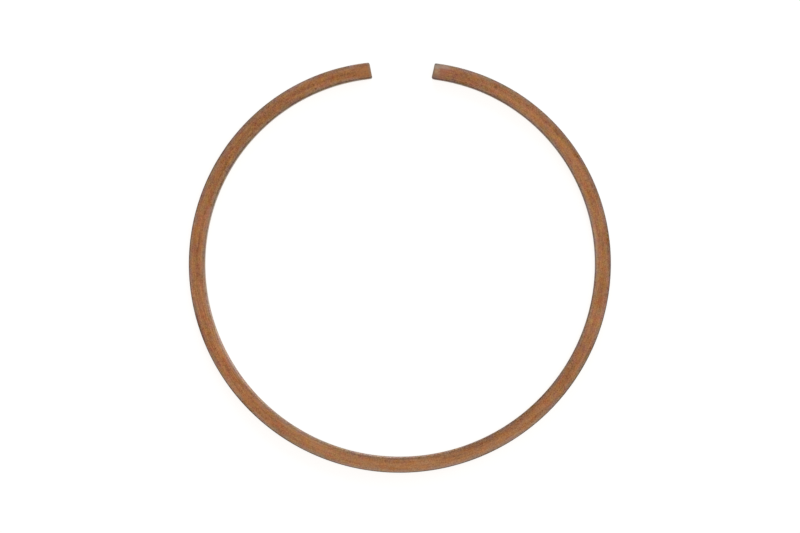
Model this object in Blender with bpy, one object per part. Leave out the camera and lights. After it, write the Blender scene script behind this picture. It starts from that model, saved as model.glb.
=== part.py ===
"""Plain compression piston ring, one piece of cast iron with a copper finish.

It lies flat, in the free shape that it takes when nothing squeezes it: a split
ring with an open gap and an outline that is a little wider than it is deep. The
gap points along +Y, the ring rests on z = 0 and the outline is centred on the
origin. Lengths are in metres.
"""

import math

import bmesh
import bpy

# The ring as it works, squeezed round inside its cylinder
BORE_DIAMETER = 0.1000
CLOSED_GAP = 0.0005

# Its section
RADIAL_THICKNESS = 0.0040
AXIAL_HEIGHT = 0.0025
INNER_CHAMFER = 0.00030
OUTER_EDGE_BREAK = 0.00018

# Its two ends, when nothing squeezes it
FREE_GAP = 0.0157
END_FACE_SLANT = math.radians(5.4)
END_EDGE_BREAK = 0.00012

# How finely the curved shape is divided
SECTIONS = 288
PATH_STEPS = 120
GAP_STEPS = 40
SHARP_ANGLE = math.radians(20)

# Copper finish
COPPER = (0.34, 0.151, 0.064, 1.0)
COPPER_ROUGHNESS = 0.52
COPPER_METALLIC = 0.75

# The middle of the section runs along this circle when the ring is closed
CLOSED_RADIUS = (BORE_DIAMETER - RADIAL_THICKNESS) / 2
BAR_LENGTH = 2 * math.pi * CLOSED_RADIUS - CLOSED_GAP


def clear_scene():
    for obj in list(bpy.data.objects):
        bpy.data.objects.remove(obj, do_unlink=True)


def heading(distance, spring):
    """Direction of the free centreline at this distance from the ring's back.

    The closed ring turns evenly. One that presses evenly on its cylinder was bent
    to get there, by an amount that follows 1 + cos(angle) and so is largest at
    the back and nothing at the ends. The free ring lacks that bend.
    """
    angle = distance / CLOSED_RADIUS
    return angle - spring * (angle + math.sin(angle))


def centreline_point(distance, spring):
    """Point of the free centreline at this distance from the ring's back, where it heads along +X."""
    step = distance / PATH_STEPS
    directions = [heading((i + 0.5) * step, spring) for i in range(PATH_STEPS)]
    x = step * sum(math.cos(direction) for direction in directions)
    y = step * sum(math.sin(direction) for direction in directions)
    return x, y


def spring_for_gap(gap):
    """How much of its curve the ring lacks at its back when its free ends stand this far apart."""
    slack = 0.0
    stiff = 0.5
    for _ in range(GAP_STEPS):
        spring = (slack + stiff) / 2
        end_x, _ = centreline_point(BAR_LENGTH / 2, spring)
        if 2 * end_x < gap:
            slack = spring
        else:
            stiff = spring
    return spring


def section_outline():
    """The section as (inward offset from the centreline, height) points."""
    half = RADIAL_THICKNESS / 2
    top = AXIAL_HEIGHT
    return [
        (half - INNER_CHAMFER, 0.0),
        (OUTER_EDGE_BREAK - half, 0.0),
        (-half, OUTER_EDGE_BREAK),
        (-half, top - OUTER_EDGE_BREAK),
        (OUTER_EDGE_BREAK - half, top),
        (half - INNER_CHAMFER, top),
        (half, top - INNER_CHAMFER),
        (half, INNER_CHAMFER),
    ]


def make_bar():
    """The ring uncoiled: a bar along X, with Y towards the ring's inside and Z up."""
    bar = bmesh.new()
    start = [bar.verts.new((-BAR_LENGTH / 2, offset, z)) for offset, z in section_outline()]
    grown = bmesh.ops.extrude_face_region(bar, geom=[bar.faces.new(start)])
    end = [item for item in grown["geom"] if isinstance(item, bmesh.types.BMVert)]
    bmesh.ops.translate(bar, verts=end, vec=(BAR_LENGTH, 0.0, 0.0))
    bar.normal_update()
    bmesh.ops.recalc_face_normals(bar, faces=bar.faces)
    lengthwise = [edge for edge in bar.edges if edge.calc_length() > BAR_LENGTH / 2]
    bmesh.ops.subdivide_edges(bar, edges=lengthwise, cuts=SECTIONS - 1)
    return bar


def cut_ends(bar):
    """Slants both end faces, so that the inner corners stand ahead, and breaks their edges."""
    for vert in bar.verts:
        lead = vert.co.y * math.tan(END_FACE_SLANT)
        vert.co.x *= 1 + lead / (BAR_LENGTH / 2)
    end_faces = [face for face in bar.faces if len(face.verts) > 4]
    rims = [edge for face in end_faces for edge in face.edges]
    bmesh.ops.bevel(
        bar,
        geom=rims,
        offset=END_EDGE_BREAK,
        offset_type="OFFSET",
        affect="EDGES",
        segments=1,
        profile=0.5,
        clamp_overlap=True,
        material=-1,
    )


def coil(bar, spring):
    """Bends the bar along the free centreline, without turning its section."""
    for vert in bar.verts:
        x, y = centreline_point(vert.co.x, spring)
        direction = heading(vert.co.x, spring)
        inward = vert.co.y
        vert.co.x = x - inward * math.sin(direction)
        vert.co.y = y + inward * math.cos(direction)


def centre_outline(bar):
    """Puts the middle of the outline over the origin. The coil is even from side to side."""
    depths = [vert.co.y for vert in bar.verts]
    middle = (min(depths) + max(depths)) / 2
    bmesh.ops.translate(bar, verts=bar.verts, vec=(0.0, -middle, 0.0))


def copper_finish():
    material = bpy.data.materials.new("copper_finish")
    material.use_nodes = True
    shader = material.node_tree.nodes["Principled BSDF"]
    shader.inputs["Base Color"].default_value = COPPER
    shader.inputs["Roughness"].default_value = COPPER_ROUGHNESS
    shader.inputs["Metallic"].default_value = COPPER_METALLIC
    return material


def make_piston_ring():
    bar = make_bar()
    cut_ends(bar)
    coil(bar, spring_for_gap(FREE_GAP))
    centre_outline(bar)
    mesh = bpy.data.meshes.new("piston_ring")
    bar.to_mesh(mesh)
    bar.free()
    mesh.materials.append(copper_finish())
    mesh.shade_smooth()
    mesh.set_sharp_from_angle(angle=SHARP_ANGLE)
    ring = bpy.data.objects.new("piston_ring", mesh)
    bpy.context.scene.collection.objects.link(ring)


clear_scene()
make_piston_ring()
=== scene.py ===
import math

import bmesh
import bpy
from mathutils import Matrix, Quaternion, Vector, noise


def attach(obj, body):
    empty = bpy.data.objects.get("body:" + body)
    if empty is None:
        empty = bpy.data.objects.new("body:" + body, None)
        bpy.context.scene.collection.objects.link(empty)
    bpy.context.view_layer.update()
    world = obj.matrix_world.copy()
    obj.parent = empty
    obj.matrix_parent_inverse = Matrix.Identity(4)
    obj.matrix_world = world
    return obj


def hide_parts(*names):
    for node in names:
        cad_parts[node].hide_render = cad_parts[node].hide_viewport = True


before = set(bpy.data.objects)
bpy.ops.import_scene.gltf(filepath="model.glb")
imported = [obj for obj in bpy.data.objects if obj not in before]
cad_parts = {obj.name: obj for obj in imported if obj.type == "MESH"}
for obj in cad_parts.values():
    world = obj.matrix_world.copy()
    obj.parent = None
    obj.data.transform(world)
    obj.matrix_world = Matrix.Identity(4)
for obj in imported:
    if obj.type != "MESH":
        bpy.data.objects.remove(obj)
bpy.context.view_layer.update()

millimetres = 1000.0

# The ring: real sizes in metres, as the CAD ring has them
ring = {
    "bore": 0.1000,            # cylinder that it closes into
    "closedGap": 0.0005,
    "freeGap": 0.0157,
    "thickness": 0.0040,       # across the flat side face
    "height": 0.0025,
    "innerChamfer": 0.00030,
    "outerBreak": 0.00018,
    "endSlant": math.radians(5.4),
    "endBreak": 0.00012,
    "edgeSoftness": 0.00005,   # rounds the corners of every chamfer
    "tipRounding": {"inside": 0.00042, "outside": 0.00030},  # of the ends' upright corners
    "tipTaper": {"length": 0.0020, "depth": 0.00009},        # the inner wall draws back beside the cut
    "sections": 1400,
    "pathSteps": 120,
    "gapSteps": 40,
    "springLimits": (0.0, 0.5),
    "shadingWeight": 50,
}
ring["closedRadius"] = (ring["bore"] - ring["thickness"]) / 2
ring["length"] = 2 * math.pi * ring["closedRadius"] - ring["closedGap"]

# How far handling has worn its edges
edgeRub = {
    "reach": 0.00045,          # how far in from a corner the rub is felt
    "waviness": 0.000012,
    "waveMiddle": 0.5,
    "waveLength": 0.0045,
    "waveApart": 7,            # keeps the noise of the four corners apart
    "nickDepth": 0.000018,
    "nickLength": 0.0013,
    "nickRarity": 0.42,        # noise has to pass this for a nick to start
    "nickApart": 13,
    "nickLayer": 5,
    "seed": 11.3,
}


def headingAt(distance, spring):
    angle = distance / ring["closedRadius"]
    return angle - spring * (angle + math.sin(angle))


def centrelinePoint(distance, spring):
    step = distance / ring["pathSteps"]
    headings = [headingAt((i + 0.5) * step, spring) for i in range(ring["pathSteps"])]
    return step * sum(map(math.cos, headings)), step * sum(map(math.sin, headings))


# how much curve the free ring lacks at its back, found from its open gap
def springForGap():
    low, high = ring["springLimits"]
    for _ in range(ring["gapSteps"]):
        spring = (low + high) / 2
        endX = centrelinePoint(ring["length"] / 2, spring)[0]
        if 2 * endX < ring["freeGap"]:
            low = spring
        else:
            high = spring
    return spring


def sectionOutline():
    half, top = ring["thickness"] / 2, ring["height"]
    inner, outer = ring["innerChamfer"], ring["outerBreak"]
    return [
        (half - inner, 0), (outer - half, 0), (-half, outer), (-half, top - outer),
        (outer - half, top), (half - inner, top), (half, top - inner), (half, inner),
    ]


# the ring uncoiled: X along it, Y towards its inside, Z up
def makeBar():
    bar = bmesh.new()
    start = [bar.verts.new((-ring["length"] / 2, y, z)) for y, z in sectionOutline()]
    grown = bmesh.ops.extrude_face_region(bar, geom=[bar.faces.new(start)])["geom"]
    end = [item for item in grown if isinstance(item, bmesh.types.BMVert)]
    bmesh.ops.translate(bar, verts=end, vec=(ring["length"], 0, 0))
    for vert in bar.verts:
        vert.co.x *= 1 + vert.co.y * math.tan(ring["endSlant"]) / (ring["length"] / 2)
    bar.normal_update()
    bmesh.ops.recalc_face_normals(bar, faces=bar.faces)
    rims = [edge for face in bar.faces if len(face.verts) > 4 for edge in face.edges]
    bmesh.ops.bevel(bar, geom=rims, offset=ring["endBreak"], offset_type="OFFSET", segments=1,
                    profile=0.5, affect="EDGES", clamp_overlap=True, material=-1)
    bmesh.ops.bevel(bar, geom=bar.edges[:], offset=ring["edgeSoftness"], offset_type="OFFSET", segments=2,
                    profile=0.5, affect="EDGES", clamp_overlap=True, material=-1)
    lengthwise = [edge for edge in bar.edges if edge.calc_length() > ring["length"] / 2]
    bmesh.ops.subdivide_edges(bar, edges=lengthwise, cuts=ring["sections"] - 1)
    return bar


# how far a point of the bar lies from the slanted cut of its own end
def cutDistance(co):
    return ring["length"] / 2 + co.y * math.tan(ring["endSlant"]) - abs(co.x)


# filing the cut has drawn the inner wall back a little beside it
def taperTips(bar):
    taper = ring["tipTaper"]
    for vert in bar.verts:
        near = 1 - cutDistance(vert.co) / taper["length"]
        if near > 0 and vert.co.y > 0:
            vert.co.y -= taper["depth"] * near**2


# draws the points beside an upright corner of the ends in to a quarter circle
def roundTips(bar):
    for vert in bar.verts:
        radius = ring["tipRounding"]["inside" if vert.co.y > 0 else "outside"]
        fromEnd = radius - cutDistance(vert.co)
        fromWall = radius - (ring["thickness"] / 2 - abs(vert.co.y))
        away = math.hypot(fromEnd, fromWall)
        if min(fromEnd, fromWall) > 0 and away > radius:
            drawnIn = 1 - radius / away
            vert.co.x -= math.copysign(fromEnd * drawnIn, vert.co.x)
            vert.co.y -= math.copysign(fromWall * drawnIn, vert.co.y)


# distance from a point of the bar to the nearest long corner of its section
def cornerDistance(co):
    toSide = ring["thickness"] / 2 - abs(co.y)
    toFlat = ring["height"] / 2 - abs(co.z - ring["height"] / 2)
    return max(toSide, toFlat)


# takes a little off the corners, unevenly, as deburring and handling do
def rubEdges(bar):
    middle = ring["height"] / 2
    for vert in bar.verts:
        felt = 1 - cornerDistance(vert.co) / edgeRub["reach"]
        if felt <= 0:
            continue
        corner = (vert.co.y > 0) + 2 * (vert.co.z > middle) + edgeRub["seed"]
        along = vert.co.x
        waveAt = Vector((along / edgeRub["waveLength"], corner * edgeRub["waveApart"], 0))
        nickAt = Vector((along / edgeRub["nickLength"], corner * edgeRub["nickApart"], edgeRub["nickLayer"]))
        taken = edgeRub["waviness"] * (edgeRub["waveMiddle"] + noise.noise(waveAt))
        taken += edgeRub["nickDepth"] * max(0.0, noise.noise(nickAt) - edgeRub["nickRarity"])
        inward = Vector((0, -math.copysign(1, vert.co.y), math.copysign(1, middle - vert.co.z)))
        vert.co += inward.normalized() * max(0.0, taken) * felt


# keeps each point's place on the uncoiled bar, in millimetres, for the finish to follow
def storePlaces(bar):
    place = bar.verts.layers.float_vector.new("ringPlace")
    toEnd = bar.verts.layers.float.new("toEnd")
    for vert in bar.verts:
        vert[place] = vert.co * millimetres
        vert[toEnd] = cutDistance(vert.co) * millimetres


def coil(bar, spring):
    stations = {}
    for vert in bar.verts:
        if vert.co.x not in stations:
            stations[vert.co.x] = (*centrelinePoint(vert.co.x, spring), headingAt(vert.co.x, spring))
        x, y, heading = stations[vert.co.x]
        inward = vert.co.y
        vert.co.x = x - inward * math.sin(heading)
        vert.co.y = y + inward * math.cos(heading)


def centreOutline(bar):
    depths = [vert.co.y for vert in bar.verts]
    bmesh.ops.translate(bar, verts=bar.verts, vec=(0, -(min(depths) + max(depths)) / 2, 0))


def makeRing():
    bar = makeBar()
    finishSurfaces(bar)
    roundTips(bar)
    taperTips(bar)
    rubEdges(bar)
    storePlaces(bar)
    coil(bar, springForGap())
    centreOutline(bar)
    mesh = bpy.data.meshes.new("copperRing")
    bar.to_mesh(mesh)
    bar.free()
    mesh.shade_smooth()
    piece = bpy.data.objects.new("copperRing", mesh)
    bpy.context.scene.collection.objects.link(piece)
    evenShading = piece.modifiers.new("evenShading", "WEIGHTED_NORMAL")
    evenShading.mode = "FACE_AREA"
    evenShading.weight = ring["shadingWeight"]
    return piece


# Small helpers for shader trees. A value that is a socket is linked, anything else is set
helpers = {
    "mixSockets": {"first": 6, "second": 7, "result": 2},  # of a mix node that is set to colours
    "noiseMiddle": 0.5,
    "seedSpread": (1.0, 1.7, 2.3),                         # how far a seed moves noise along each way
}


def feed(tree, socket, value):
    if isinstance(value, bpy.types.NodeSocket):
        tree.links.new(value, socket)
    else:
        socket.default_value = value


def calc(tree, operation, *values):
    step = tree.nodes.new("ShaderNodeMath")
    step.operation = operation
    for socket, value in zip(step.inputs, values):
        feed(tree, socket, value)
    return step.outputs[0]


def multiplyAll(tree, first, *others):
    product = first
    for other in others:
        product = calc(tree, "MULTIPLY", product, other)
    return product


def blendColours(tree, mode, amount, first, second):
    sockets = helpers["mixSockets"]
    step = tree.nodes.new("ShaderNodeMix")
    step.data_type = "RGBA"
    step.blend_type = mode
    feed(tree, step.inputs["Factor"], amount)
    feed(tree, step.inputs[sockets["first"]], first)
    feed(tree, step.inputs[sockets["second"]], second)
    return step.outputs[sockets["result"]]


def fade(tree, value, low, high, atLow, atHigh):
    step = tree.nodes.new("ShaderNodeMapRange")
    step.interpolation_type = "SMOOTHSTEP"
    names = ("Value", "From Min", "From Max", "To Min", "To Max")
    for name, given in zip(names, (value, low, high, atLow, atHigh)):
        feed(tree, step.inputs[name], given)
    return step.outputs["Result"]


# where a point lies on the uncoiled bar, in millimetres
def ringPlace(tree):
    reader = tree.nodes.new("ShaderNodeAttribute")
    reader.attribute_name = "ringPlace"
    return reader.outputs["Vector"]


def splitPlace(tree):
    split = tree.nodes.new("ShaderNodeSeparateXYZ")
    tree.links.new(ringPlace(tree), split.inputs[0])
    return split.outputs["X"], split.outputs["Y"], split.outputs["Z"]


def distanceToTip(tree):
    reader = tree.nodes.new("ShaderNodeAttribute")
    reader.attribute_name = "toEnd"
    return reader.outputs["Fac"]


# lightens or darkens a colour by shade, and makes it paler or duller by veil at the same time
def shadeColour(tree, colour, shade, veil):
    paler = tree.nodes.new("ShaderNodeVectorMath")
    paler.operation = "ADD"
    feed(tree, paler.inputs[0], colour)
    paler.inputs[1].default_value = veil
    shaded = tree.nodes.new("ShaderNodeVectorMath")
    shaded.operation = "MULTIPLY_ADD"
    feed(tree, shaded.inputs[0], paler.outputs[0])
    feed(tree, shaded.inputs[1], shade)
    feed(tree, shaded.inputs[2], colour)
    return shaded.outputs[0]


# noise whose spots are as long, as wide and as high as its spot says, in millimetres
def spottedNoise(tree, kind):
    mapping = tree.nodes.new("ShaderNodeMapping")
    mapping.inputs["Scale"].default_value = [1 / size for size in kind["spot"]]
    mapping.inputs["Location"].default_value = [kind["seed"] * share for share in helpers["seedSpread"]]
    tree.links.new(ringPlace(tree), mapping.inputs["Vector"])
    source = tree.nodes.new("ShaderNodeTexNoise")
    source.inputs["Scale"].default_value = 1.0
    source.inputs["Detail"].default_value = kind["detail"]
    tree.links.new(mapping.outputs["Vector"], source.inputs["Vector"])
    return source.outputs["Fac"]


# noise made to go as far under nought as over it
def aboutNought(tree, noiseValue):
    return calc(tree, "SUBTRACT", noiseValue, helpers["noiseMiddle"])


def newGroup(name, inputs, outputs):
    group = bpy.data.node_groups.new(name, "ShaderNodeTree")
    for title, kind, value in inputs:
        group.interface.new_socket(name=title, in_out="INPUT", socket_type=kind).default_value = value
    for title, kind in outputs:
        group.interface.new_socket(name=title, in_out="OUTPUT", socket_type=kind)
    entry = group.nodes.new("NodeGroupInput")
    leaving = group.nodes.new("NodeGroupOutput")
    return group, entry.outputs, leaving.inputs


def placeGroup(tree, group, **values):
    placed = tree.nodes.new("ShaderNodeGroup")
    placed.node_tree = group
    for name, value in values.items():
        feed(tree, placed.inputs[name], value)
    return placed.outputs


# Copper coat of the whole ring, with painted light and shade across its width and round it. Colours are
# linear, spots are in millimetres along, across and up it
coat = {
    "rose": (0.236, 0.128, 0.0770, 1),       # it wanders between these two
    "orange": (0.374, 0.132, 0.0250, 1),
    "patch": {"spot": (2.4, 1.5, 1.5), "seed": 3.1, "detail": 3.0},
    "olive": (0.92, 1.26, 0.76, 1),          # times one of these two
    "brick": (1.08, 0.74, 1.24, 1),
    "tint": {"spot": (2.1, 1.35, 1.35), "seed": 8.7, "detail": 3.0},
    "veil": (0.21, 0.16, 0.09),              # its lighter spots are paler too, by this share
    "band": {"spot": (18.0, 1.3, 1.3), "seed": 7.9, "detail": 2.0, "contrast": 0.34},
    # lay of the grinding, along the ring
    "scratch": {"spot": (7.0, 0.30, 0.30), "seed": 5.2, "detail": 3.0, "contrast": 0.40},
    "grain": {"spot": (0.80, 0.80, 0.80), "seed": 1.4, "detail": 4.0, "contrast": 0.68},
    # the coat's own fine roughness
    "speck": {"spot": (0.26, 0.24, 0.24), "seed": 9.3, "detail": 1.0, "contrast": 0.72},
    "calm": {"along": (-14, -4, 36, 50), "loss": 0.5},         # its colour wanders less here
    "streaky": {"along": (-86, -74, -48, -36), "gain": 0.45},  # the grinding shows more here
    "paintedShading": 0.044,            # painted light and shade: how much lighter one half of its width is, 1 mm off the middle
    "driftWaves": 2,           # how often that changes from one half to the other and back, in a round
    "driftTurn": 2.62,
}

# Slow changes round the ring, partly painted light and shade and partly the coat's own tone: how much
# lighter a stretch is at its inside and at its outside, and a tint that multiplies it. Along has its start,
# where it is full, where that ends, and its end
stretches = {
    "leftTip": {"along": (-152, -151, -140, -132), "inside": 0.05, "outside": -0.10,
                "tint": (1.00, 0.97, 0.92, 1)},
    "nearLeftTip": {"along": (-137, -124, -108, -88), "inside": -0.01, "outside": -0.09,
                    "tint": (1.00, 1.01, 0.98, 1)},
    "left": {"along": (-104, -84, -48, -28), "inside": 0.01, "outside": 0.05,
             "tint": (1.02, 0.95, 0.91, 1)},
    "bottom": {"along": (-34, -16, 10, 28), "inside": 0.02, "outside": 0.01,
               "tint": (0.99, 1.02, 1.04, 1)},
    "lowerRight": {"along": (6, 20, 58, 68), "inside": -0.08, "outside": -0.04,
                   "tint": (0.99, 1.02, 1.06, 1)},
    "right": {"along": (62, 72, 104, 118), "inside": -0.03, "outside": 0.01,
              "tint": (1.00, 1.01, 1.01, 1)},
    "rightTip": {"along": (134, 144, 152, 156), "inside": -0.03, "outside": -0.06,
                 "tint": (1.00, 1.00, 1.05, 1)},
}

halfWidth = ring["thickness"] / 2 * millimetres
halfHeight = ring["height"] / 2 * millimetres


# one over a stretch of the ring, nought past its start and its end
def stretchMask(tree, along, stretch):
    start, full, fullEnd, end = stretch["along"]
    rise = fade(tree, along, start, full, 0.0, 1.0)
    return calc(tree, "MULTIPLY", rise, fade(tree, along, fullEnd, end, 1.0, 0.0))


def makeToneAndShadingGroup():
    group, entry, leaving = newGroup(
        "copperTonesAndShading",
        [("Contrast", "NodeSocketFloat", 1.0)],
        [("Color", "NodeSocketColor"), ("Relief", "NodeSocketFloat"), ("Grain", "NodeSocketFloat")],
    )
    along, inward, _ = splitPlace(group)
    tone = blendColours(group, "MIX", spottedNoise(group, coat["patch"]), coat["rose"], coat["orange"])
    tint = blendColours(group, "MIX", spottedNoise(group, coat["tint"]), coat["olive"], coat["brick"])
    calm = calc(group, "MULTIPLY", stretchMask(group, along, coat["calm"]), coat["calm"]["loss"])
    tone = blendColours(group, "MULTIPLY", calc(group, "SUBTRACT", 1.0, calm), tone, tint)
    lay, streaky = coat["scratch"], coat["streaky"]
    scratch = spottedNoise(group, lay)
    streaks = stretchMask(group, along, streaky)
    scratchContrast = calc(group, "MULTIPLY_ADD", streaks, streaky["gain"], lay["contrast"])
    grain = spottedNoise(group, coat["grain"])
    shade = 0.0
    for noiseValue, contrast in (
        (spottedNoise(group, coat["band"]), coat["band"]["contrast"]),
        (scratch, scratchContrast),
        (grain, coat["grain"]["contrast"]),
        (spottedNoise(group, coat["speck"]), coat["speck"]["contrast"]),
    ):
        shade = calc(group, "MULTIPLY_ADD", aboutNought(group, noiseValue), contrast, shade)
    shade = calc(group, "MULTIPLY", shade, entry["Contrast"])
    # painted light and shade: one half of the width lighter than the other, changing sides round the ring
    perMillimetre = coat["driftWaves"] / (ring["closedRadius"] * millimetres)
    turn = calc(group, "MULTIPLY_ADD", along, perMillimetre, coat["driftTurn"])
    paintedShading = calc(group, "MULTIPLY", calc(group, "COSINE", turn), inward)
    shade = calc(group, "MULTIPLY_ADD", paintedShading, coat["paintedShading"], shade)
    # painted light and shade round the ring, together with the coat's own slow changes of tone
    for stretch in stretches.values():
        mask = stretchMask(group, along, stretch)
        lighter = fade(group, inward, -halfWidth, halfWidth, stretch["outside"], stretch["inside"])
        shade = calc(group, "MULTIPLY_ADD", lighter, mask, shade)
        tone = blendColours(group, "MULTIPLY", mask, tone, stretch["tint"])
    group.links.new(shadeColour(group, tone, shade, coat["veil"]), leaving["Color"])
    group.links.new(scratch, leaving["Relief"])
    group.links.new(grain, leaving["Grain"])
    return group


# Greyer borders beside every corner, partly rubbed wear and partly painted shade along the chamfers.
# Tints multiply the coat, so its mottling goes on in them
edgeWearAndShade = {
    "tint": (0.79, 1.13, 1.86, 1),
    "start": 0.15,
    "end": 1.30,
    "tipShare": 1.8,           # the border is narrower beside the ends, by this
    "raggedness": 0.5,
    "ragged": {"spot": (1.1, 0.8, 0.8), "seed": 6.6, "detail": 2.0},
}


# Millimetres from the nearest corner of the ring: the middle one of the distances to
# a side wall, to a flat face and to a cut end, since the least is the surface itself
def makeCornerGroup():
    group, _, leaving = newGroup("cornerDistance", [], [("Distance", "NodeSocketFloat")])
    _, inward, level = splitPlace(group)
    toWall = calc(group, "SUBTRACT", halfWidth, calc(group, "ABSOLUTE", inward))
    fromMiddle = calc(group, "ABSOLUTE", calc(group, "SUBTRACT", level, halfHeight))
    toFlat = calc(group, "SUBTRACT", halfHeight, fromMiddle)
    toTip = calc(group, "MULTIPLY", distanceToTip(group), edgeWearAndShade["tipShare"])
    less = calc(group, "MINIMUM", toWall, toFlat)
    more = calc(group, "MAXIMUM", toWall, toFlat)
    middle = calc(group, "MAXIMUM", less, calc(group, "MINIMUM", more, toTip))
    group.links.new(middle, leaving["Distance"])
    return group


# a greyer border: partly wear, partly painted shade along the chamfers
def makeEdgeWearAndShadeGroup(cornerGroup):
    group, entry, leaving = newGroup(
        "greyerEdgesWithShade",
        [("Color", "NodeSocketColor", (1, 1, 1, 1)), ("Tint", "NodeSocketColor", edgeWearAndShade["tint"]),
         ("Amount", "NodeSocketFloat", 1.0), ("Reach", "NodeSocketFloat", 1.0)],
        [("Color", "NodeSocketColor")],
    )
    distance = placeGroup(group, cornerGroup)["Distance"]
    wander = aboutNought(group, spottedNoise(group, edgeWearAndShade["ragged"]))
    distance = calc(group, "MULTIPLY_ADD", wander, edgeWearAndShade["raggedness"], distance)
    distance = calc(group, "DIVIDE", distance, entry["Reach"])
    mask = fade(group, distance, edgeWearAndShade["start"], edgeWearAndShade["end"], entry["Amount"], 0.0)
    group.links.new(blendColours(group, "MULTIPLY", mask, entry["Color"], entry["Tint"]), leaving["Color"])
    return group


# Marks of its own. Four numbers are a fade: its two places, in millimetres, and the amounts there.
# Those called fade have values of noise for places. ToTip is the distance from the cut, fromTip the
# same made uneven, and across goes from the outside, below nought, to the inside
marks = {
    "rightHalf": (0.0, 1.0, 0.0, 1.0),
    "uneven": {"spot": (0.7, 0.6, 0.6), "seed": 4.4, "detail": 2.0, "share": 1.2},
    "flecks": {"spot": (0.42, 0.36, 0.36), "seed": 7.3, "detail": 2.0, "fade": (0.40, 0.56, 0.3, 1.0)},
}

# Small dark pits all over, and two larger ones
pits = {
    "colour": (0.155, 0.062, 0.020, 1),
    "small": {"spot": (0.45, 0.36, 0.36), "seed": 2.6, "detail": 2.0, "fade": (0.68, 0.80, 0.0, 0.12)},
    "large": {
        "rightOfGap": {"along": 134.3, "inward": -0.55, "radius": 0.40},
        "leftInside": {"along": -135.8, "inward": 1.05, "radius": 0.26},
    },
    "largeFade": (0.4, 1.5, 0.85, 0.0),  # in radii
}


def makePits(group, here):
    found = fade(group, spottedNoise(group, pits["small"]), *pits["small"]["fade"])
    start, end, amount, nothing = pits["largeFade"]
    for pit in pits["large"].values():
        across = calc(group, "SUBTRACT", here["inward"], pit["inward"])
        length = calc(group, "SUBTRACT", here["along"], pit["along"])
        square = calc(group, "MULTIPLY_ADD", across, across, calc(group, "MULTIPLY", length, length))
        away = calc(group, "SQRT", square)
        pitHere = fade(group, away, pit["radius"] * start, pit["radius"] * end, amount, nothing)
        found = calc(group, "MAXIMUM", found, pitHere)
    return found


# Pinkish wash past the bare patch of the right tip, weaker at the inside
mauveWash = {
    "outsideColour": (0.345, 0.222, 0.178, 1),
    "insideColour": (0.268, 0.102, 0.074, 1),
    "fromTip": (2.8, 4.4, 0.75, 0.0),
    "across": (-1.3, -0.3, 0.0, 1.0),
    "insideLoss": 0.4,
    "outerEdge": (-1.95, -1.7, 0.2, 1.0),
    "innerEdge": (1.7, 1.95, 1.0, 0.2),
}


def addMauveWash(group, here, colour):
    inward = here["inward"]
    atInside = fade(group, inward, *mauveWash["across"])
    amount = multiplyAll(
        group,
        fade(group, here["fromTip"], *mauveWash["fromTip"]),
        here["rightTip"],
        calc(group, "MULTIPLY_ADD", atInside, -mauveWash["insideLoss"], 1.0),
        fade(group, inward, *mauveWash["outerEdge"]),
        fade(group, inward, *mauveWash["innerEdge"]),
    )
    tone = blendColours(group, "MIX", atInside, mauveWash["outsideColour"], mauveWash["insideColour"])
    return blendColours(group, "MIX", amount, colour, tone)


# Bare metal at the right tip, flecked except beside the cut
barePatch = {
    "colour": (0.375, 0.246, 0.132, 1),
    "fromTip": (1.1, 2.0, 0.9, 0.0),
    "cutEdge": {"toTip": (0.30, 0.70, 1.0, 0.0), "colour": (0.275, 0.188, 0.114, 1)},
    "sides": {
        "inside": {"across": (-0.3, 1.4, 0.0, 1.0), "colour": (0.215, 0.137, 0.090, 1)},
        "outside": {"across": (-1.0, -0.2, 1.0, 0.0), "colour": (0.300, 0.232, 0.176, 1)},
    },
}


def addBarePatch(group, here, colour):
    cutEdge = barePatch["cutEdge"]
    atEdge = fade(group, here["toTip"], *cutEdge["toTip"])
    amount = multiplyAll(
        group,
        fade(group, here["fromTip"], *barePatch["fromTip"]),
        here["rightTip"],
        calc(group, "MAXIMUM", here["flecks"], atEdge),
    )
    tone = blendColours(group, "MIX", atEdge, barePatch["colour"], cutEdge["colour"])
    for side in barePatch["sides"].values():
        tone = blendColours(group, "MIX", fade(group, here["inward"], *side["across"]), tone, side["colour"])
    return blendColours(group, "MIX", amount, colour, tone)


# Dark line and corners of the right tip, near the upper face only
darkTip = {
    "nearTop": (1.6, 2.3, 0.15, 1.0),
    "places": {
        "outerLine": {"toTip": (3.0, 9.0, 0.7, 0.0), "across": (-1.95, -1.55, 1.0, 0.0),
                      "colour": (0.190, 0.142, 0.105, 1)},
        "outerCorner": {"toTip": (0.4, 1.4, 1.0, 0.0), "across": (-1.9, -1.4, 1.0, 0.0),
                        "colour": (0.130, 0.114, 0.100, 1)},
        "innerCorner": {"toTip": (0.6, 2.2, 1.0, 0.0), "across": (1.1, 1.8, 0.0, 1.0),
                        "colour": (0.200, 0.118, 0.100, 1)},
    },
}


def addDarkTip(group, here, colour):
    atTop = calc(group, "MULTIPLY", fade(group, here["level"], *darkTip["nearTop"]), here["rightTip"])
    for place in darkTip["places"].values():
        amount = multiplyAll(
            group,
            fade(group, here["toTip"], *place["toTip"]),
            atTop,
            fade(group, here["inward"], *place["across"]),
        )
        colour = blendColours(group, "MIX", amount, colour, place["colour"])
    return colour


# Darker wash over the left tip, with a dull edge and greyer corners beside its cut
leftWash = {
    "fromTip": (2.2, 4.4, 0.75, 0.0),
    "outsideColour": (0.215, 0.082, 0.042, 1),
    "middle": {"across": (-1.4, -0.6, 0.0, 1.0), "colour": (0.350, 0.148, 0.049, 1)},
    "inside": {"across": (0.6, 1.6, 0.0, 1.0), "colour": (0.248, 0.094, 0.034, 1)},
    "cutEdge": {"toTip": (0.30, 0.95, 0.7, 0.0), "colour": (0.252, 0.147, 0.088, 1)},
    "corner": {"fromMiddle": (1.4, 1.8, 0.0, 1.3), "colour": (0.215, 0.165, 0.130, 1)},
}


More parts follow.
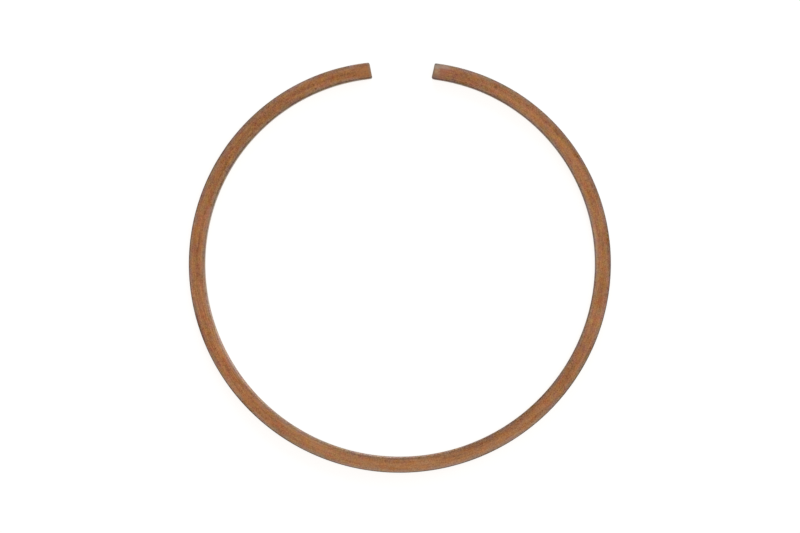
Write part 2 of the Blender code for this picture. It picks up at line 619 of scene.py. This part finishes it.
def addLeftWash(group, here, colour):
    inward, cutEdge, corner = here["inward"], leftWash["cutEdge"], leftWash["corner"]
    leftTip = calc(group, "SUBTRACT", 1.0, here["rightTip"])
    wash = fade(group, here["fromTip"], *leftWash["fromTip"])
    tone = leftWash["outsideColour"]
    for part in (leftWash["middle"], leftWash["inside"]):
        tone = blendColours(group, "MIX", fade(group, inward, *part["across"]), tone, part["colour"])
    colour = blendColours(group, "MIX", multiplyAll(group, wash, leftTip, here["flecks"]), colour, tone)
    atEdge = calc(group, "MULTIPLY", fade(group, here["toTip"], *cutEdge["toTip"]), leftTip)
    colour = blendColours(group, "MIX", atEdge, colour, cutEdge["colour"])
    atCorner = fade(group, calc(group, "ABSOLUTE", inward), *corner["fromMiddle"])
    return blendColours(group, "MIX", calc(group, "MULTIPLY", atEdge, atCorner), colour, corner["colour"])


def makeMarksGroup():
    group, entry, leaving = newGroup(
        "pitsAndBareTip",
        [("Color", "NodeSocketColor", (1, 1, 1, 1))],
        [("Color", "NodeSocketColor"), ("Pits", "NodeSocketFloat")],
    )
    along, inward, level = splitPlace(group)
    toTip = distanceToTip(group)
    wander = aboutNought(group, spottedNoise(group, marks["uneven"]))
    here = {
        "along": along,
        "inward": inward,
        "level": level,
        "toTip": toTip,
        "fromTip": calc(group, "MULTIPLY_ADD", wander, marks["uneven"]["share"], toTip),
        "rightTip": fade(group, along, *marks["rightHalf"]),
        "flecks": fade(group, spottedNoise(group, marks["flecks"]), *marks["flecks"]["fade"]),
    }
    pitted = makePits(group, here)
    colour = blendColours(group, "MIX", pitted, entry["Color"], pits["colour"])
    for addMark in (addMauveWash, addBarePatch, addDarkTip, addLeftWash):
        colour = addMark(group, here, colour)
    group.links.new(colour, leaving["Color"])
    group.links.new(pitted, leaving["Pits"])
    return group


# One finish for each kind of surface. Reach is how many times further in its worn and shaded border goes,
# relief is the depth of its lay, in millimetres
surfaces = {
    "sideFace": {"contrast": 1.0, "wearAndShadeAmount": 0.9, "reach": 1.0, "tint": edgeWearAndShade["tint"],
                 "roughness": (0.44, 0.60), "metallic": 0.75, "relief": 0.0030},
    # the outer rim's darker tint paints a line of shade along its chamfer, as well as wear
    "outerRim": {"contrast": 0.8, "wearAndShadeAmount": 1.0, "reach": 1.0, "tint": (0.56, 0.86, 1.63, 1),
                 "roughness": (0.40, 0.58), "metallic": 0.80, "relief": 0.0020},
    "innerRim": {"contrast": 0.8, "wearAndShadeAmount": 1.0, "reach": 1.0, "tint": (0.90, 1.34, 2.50, 1),
                 "roughness": (0.42, 0.55), "metallic": 0.75, "relief": 0.0020},
    "endRim": {"contrast": 0.8, "wearAndShadeAmount": 1.0, "reach": 1.0, "tint": (1.05, 1.75, 3.10, 1),
               "roughness": (0.40, 0.58), "metallic": 0.80, "relief": 0.0020},
    "runningFace": {"contrast": 0.8, "wearAndShadeAmount": 0.7, "reach": 1.0, "tint": (0.77, 1.10, 1.90, 1),
                    "roughness": (0.34, 0.48), "metallic": 0.80, "relief": 0.0030},
    "innerFace": {"contrast": 0.9, "wearAndShadeAmount": 1.0, "reach": 4.0, "tint": (1.45, 2.50, 4.60, 1),
                  "roughness": (0.46, 0.62), "metallic": 0.60, "relief": 0.0060},
    "cutEnd": {"contrast": 0.8, "wearAndShadeAmount": 0.8, "reach": 1.0, "tint": (0.65, 1.10, 2.14, 1),
               "roughness": (0.36, 0.52), "metallic": 0.85, "relief": 0.0040},
}

# What all of them share, and how squarely a face has to look one way to be of a kind
finish = {
    "grainSpan": (0.3, 0.7),   # from the smoothest to the roughest grain
    "grainRelief": 0.5,
    "squareToEnd": 0.9,
    "squareToWall": 0.95,
    "leaningToEnd": 0.1,
}


def makeFinish(name, toneAndShadingGroup, edgeWearAndShadeGroup, marksGroup):
    look = surfaces[name]
    material = bpy.data.materials.new(name)
    material.use_nodes = True
    tree = material.node_tree
    shader = tree.nodes["Principled BSDF"]
    # the coat's colour, with its painted light and shade
    copper = placeGroup(tree, toneAndShadingGroup, Contrast=look["contrast"])
    # its border, partly wear and partly painted shade
    borderWornAndShaded = placeGroup(tree, edgeWearAndShadeGroup, Color=copper["Color"], Tint=look["tint"], Amount=look["wearAndShadeAmount"],
                      Reach=look["reach"])
    marked = placeGroup(tree, marksGroup, Color=borderWornAndShaded["Color"])
    tree.links.new(marked["Color"], shader.inputs["Base Color"])
    roughness = fade(tree, copper["Grain"], *finish["grainSpan"], *look["roughness"])
    tree.links.new(roughness, shader.inputs["Roughness"])
    shader.inputs["Metallic"].default_value = look["metallic"]
    bump = tree.nodes.new("ShaderNodeBump")
    bump.inputs["Distance"].default_value = look["relief"] / millimetres
    height = calc(tree, "MULTIPLY_ADD", copper["Grain"], finish["grainRelief"], copper["Relief"])
    height = calc(tree, "SUBTRACT", height, marked["Pits"])
    tree.links.new(height, bump.inputs["Height"])
    tree.links.new(bump.outputs["Normal"], shader.inputs["Normal"])
    return material


# faces are told apart on the bar, before it is coiled
def surfaceOf(normal):
    if abs(normal.x) > finish["squareToEnd"]:
        return "cutEnd"
    if abs(normal.z) > finish["squareToWall"]:
        return "sideFace"
    if abs(normal.y) > finish["squareToWall"]:
        return "innerFace" if normal.y > 0 else "runningFace"
    if abs(normal.x) > finish["leaningToEnd"]:
        return "endRim"
    return "innerRim" if normal.y > 0 else "outerRim"


def finishSurfaces(bar):
    order = list(surfaces)
    bar.normal_update()
    for face in bar.faces:
        face.material_index = order.index(surfaceOf(face.normal))


print("ring: shaping it from the uncoiled bar")
copperRing = makeRing()
toneAndShadingGroup = makeToneAndShadingGroup()
edgeWearAndShadeGroup = makeEdgeWearAndShadeGroup(makeCornerGroup())
marksGroup = makeMarksGroup()
for surface in surfaces:
    copperRing.data.materials.append(makeFinish(surface, toneAndShadingGroup, edgeWearAndShadeGroup, marksGroup))
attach(copperRing, "root")
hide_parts("piston_ring")

# The floor that it lies on, and the light
studio = {
    "floorSize": 6.0,
    "floorColour": (0.17, 0.225, 0.275, 1),  # cooler than its glow, so that the ring's shadow is warm
    "floorGlow": (0.885, 0.83, 0.78, 1),
    "worldLight": 0.43,
    "worldColour": (1, 1, 1, 1),
    "lamps": {
        "overhead": {"place": (0.25, -0.2, 1.6), "size": 1.4, "watts": 9.5},
        "right": {"place": (1.26, 0.85, 0.55), "size": 1.0, "watts": 8.5},
        "top": {"place": (-0.15, 1.51, 0.55), "size": 1.0, "watts": 13.0},
    },
}


# one where the camera sees the floor, straight or in a reflection. It glows only there, so the
# glow lights nothing, and what light the floor lacks in the ring's shadow still shows
def seenByCamera(tree):
    path = tree.nodes.new("ShaderNodeLightPath")
    seen = calc(tree, "MAXIMUM", path.outputs["Is Camera Ray"], path.outputs["Is Glossy Ray"])
    return calc(tree, "MAXIMUM", seen, path.outputs["Is Transmission Ray"])


def makeFloor():
    shape = bmesh.new()
    bmesh.ops.create_grid(shape, x_segments=1, y_segments=1, size=studio["floorSize"] / 2)
    mesh = bpy.data.meshes.new("floor")
    shape.to_mesh(mesh)
    shape.free()
    floor = bpy.data.objects.new("floor", mesh)
    bpy.context.scene.collection.objects.link(floor)
    material = bpy.data.materials.new("paleFloor")
    material.use_nodes = True
    tree = material.node_tree
    tree.nodes.clear()
    output = tree.nodes.new("ShaderNodeOutputMaterial")
    matt = tree.nodes.new("ShaderNodeBsdfDiffuse")
    matt.inputs["Color"].default_value = studio["floorColour"]
    glow = tree.nodes.new("ShaderNodeEmission")
    glow.inputs["Color"].default_value = studio["floorGlow"]
    tree.links.new(seenByCamera(tree), glow.inputs["Strength"])
    both = tree.nodes.new("ShaderNodeAddShader")
    tree.links.new(matt.outputs[0], both.inputs[0])
    tree.links.new(glow.outputs[0], both.inputs[1])
    tree.links.new(both.outputs[0], output.inputs["Surface"])
    mesh.materials.append(material)


def makeWorld():
    world = bpy.data.worlds.new("studio")
    world.use_nodes = True
    background = world.node_tree.nodes["Background"]
    background.inputs["Color"].default_value = studio["worldColour"]
    background.inputs["Strength"].default_value = studio["worldLight"]
    bpy.context.scene.world = world


def makeLamp(name):
    given = studio["lamps"][name]
    light = bpy.data.lights.new(name, "AREA")
    light.shape = "DISK"
    light.size = given["size"]
    light.energy = given["watts"]
    lamp = bpy.data.objects.new(name, light)
    lamp.location = given["place"]
    lamp.rotation_euler = Vector(given["place"]).to_track_quat("Z", "Y").to_euler()
    bpy.context.scene.collection.objects.link(lamp)


# The camera looks almost straight down. Its frame is 800 pixels wide
camera = {
    "lens": 150.0,
    "sensor": 36.0,
    "frameWidth": 800,
    "frameMiddle": (400.0, 266.5),
    "ringMiddle": (399.18, 267.46),        # where the ring's middle lies in the frame
    "pixelsPerMetre": 3992.0,
    "turn": 0.0128,                        # the ring lies turned by this much, clockwise
    "lean": (0.044, -0.034),               # it looks from a little to the right and below
}


def makeCamera():
    data = bpy.data.cameras.new("camera")
    data.lens = camera["lens"]
    data.sensor_width = camera["sensor"]
    eye = bpy.data.objects.new("camera", data)
    reach = camera["lens"] / camera["sensor"] * camera["frameWidth"] / camera["pixelsPerMetre"]
    right = (camera["frameMiddle"][0] - camera["ringMiddle"][0]) / camera["pixelsPerMetre"]
    up = (camera["ringMiddle"][1] - camera["frameMiddle"][1]) / camera["pixelsPerMetre"]
    straightUp = Vector((0, 0, 1))
    towardsEye = Vector((*camera["lean"], 1)).normalized()
    eye.location = towardsEye * reach + Vector((right, up, ring["height"]))
    leaning = straightUp.rotation_difference(towardsEye) @ Quaternion(straightUp, camera["turn"])
    eye.rotation_euler = leaning.to_euler()
    bpy.context.scene.collection.objects.link(eye)
    bpy.context.scene.camera = eye


print("studio: floor, light and camera")
makeFloor()
makeWorld()
for lamp in studio["lamps"]:
    makeLamp(lamp)
makeCamera()
bpy.context.scene.view_settings.view_transform = "Standard"
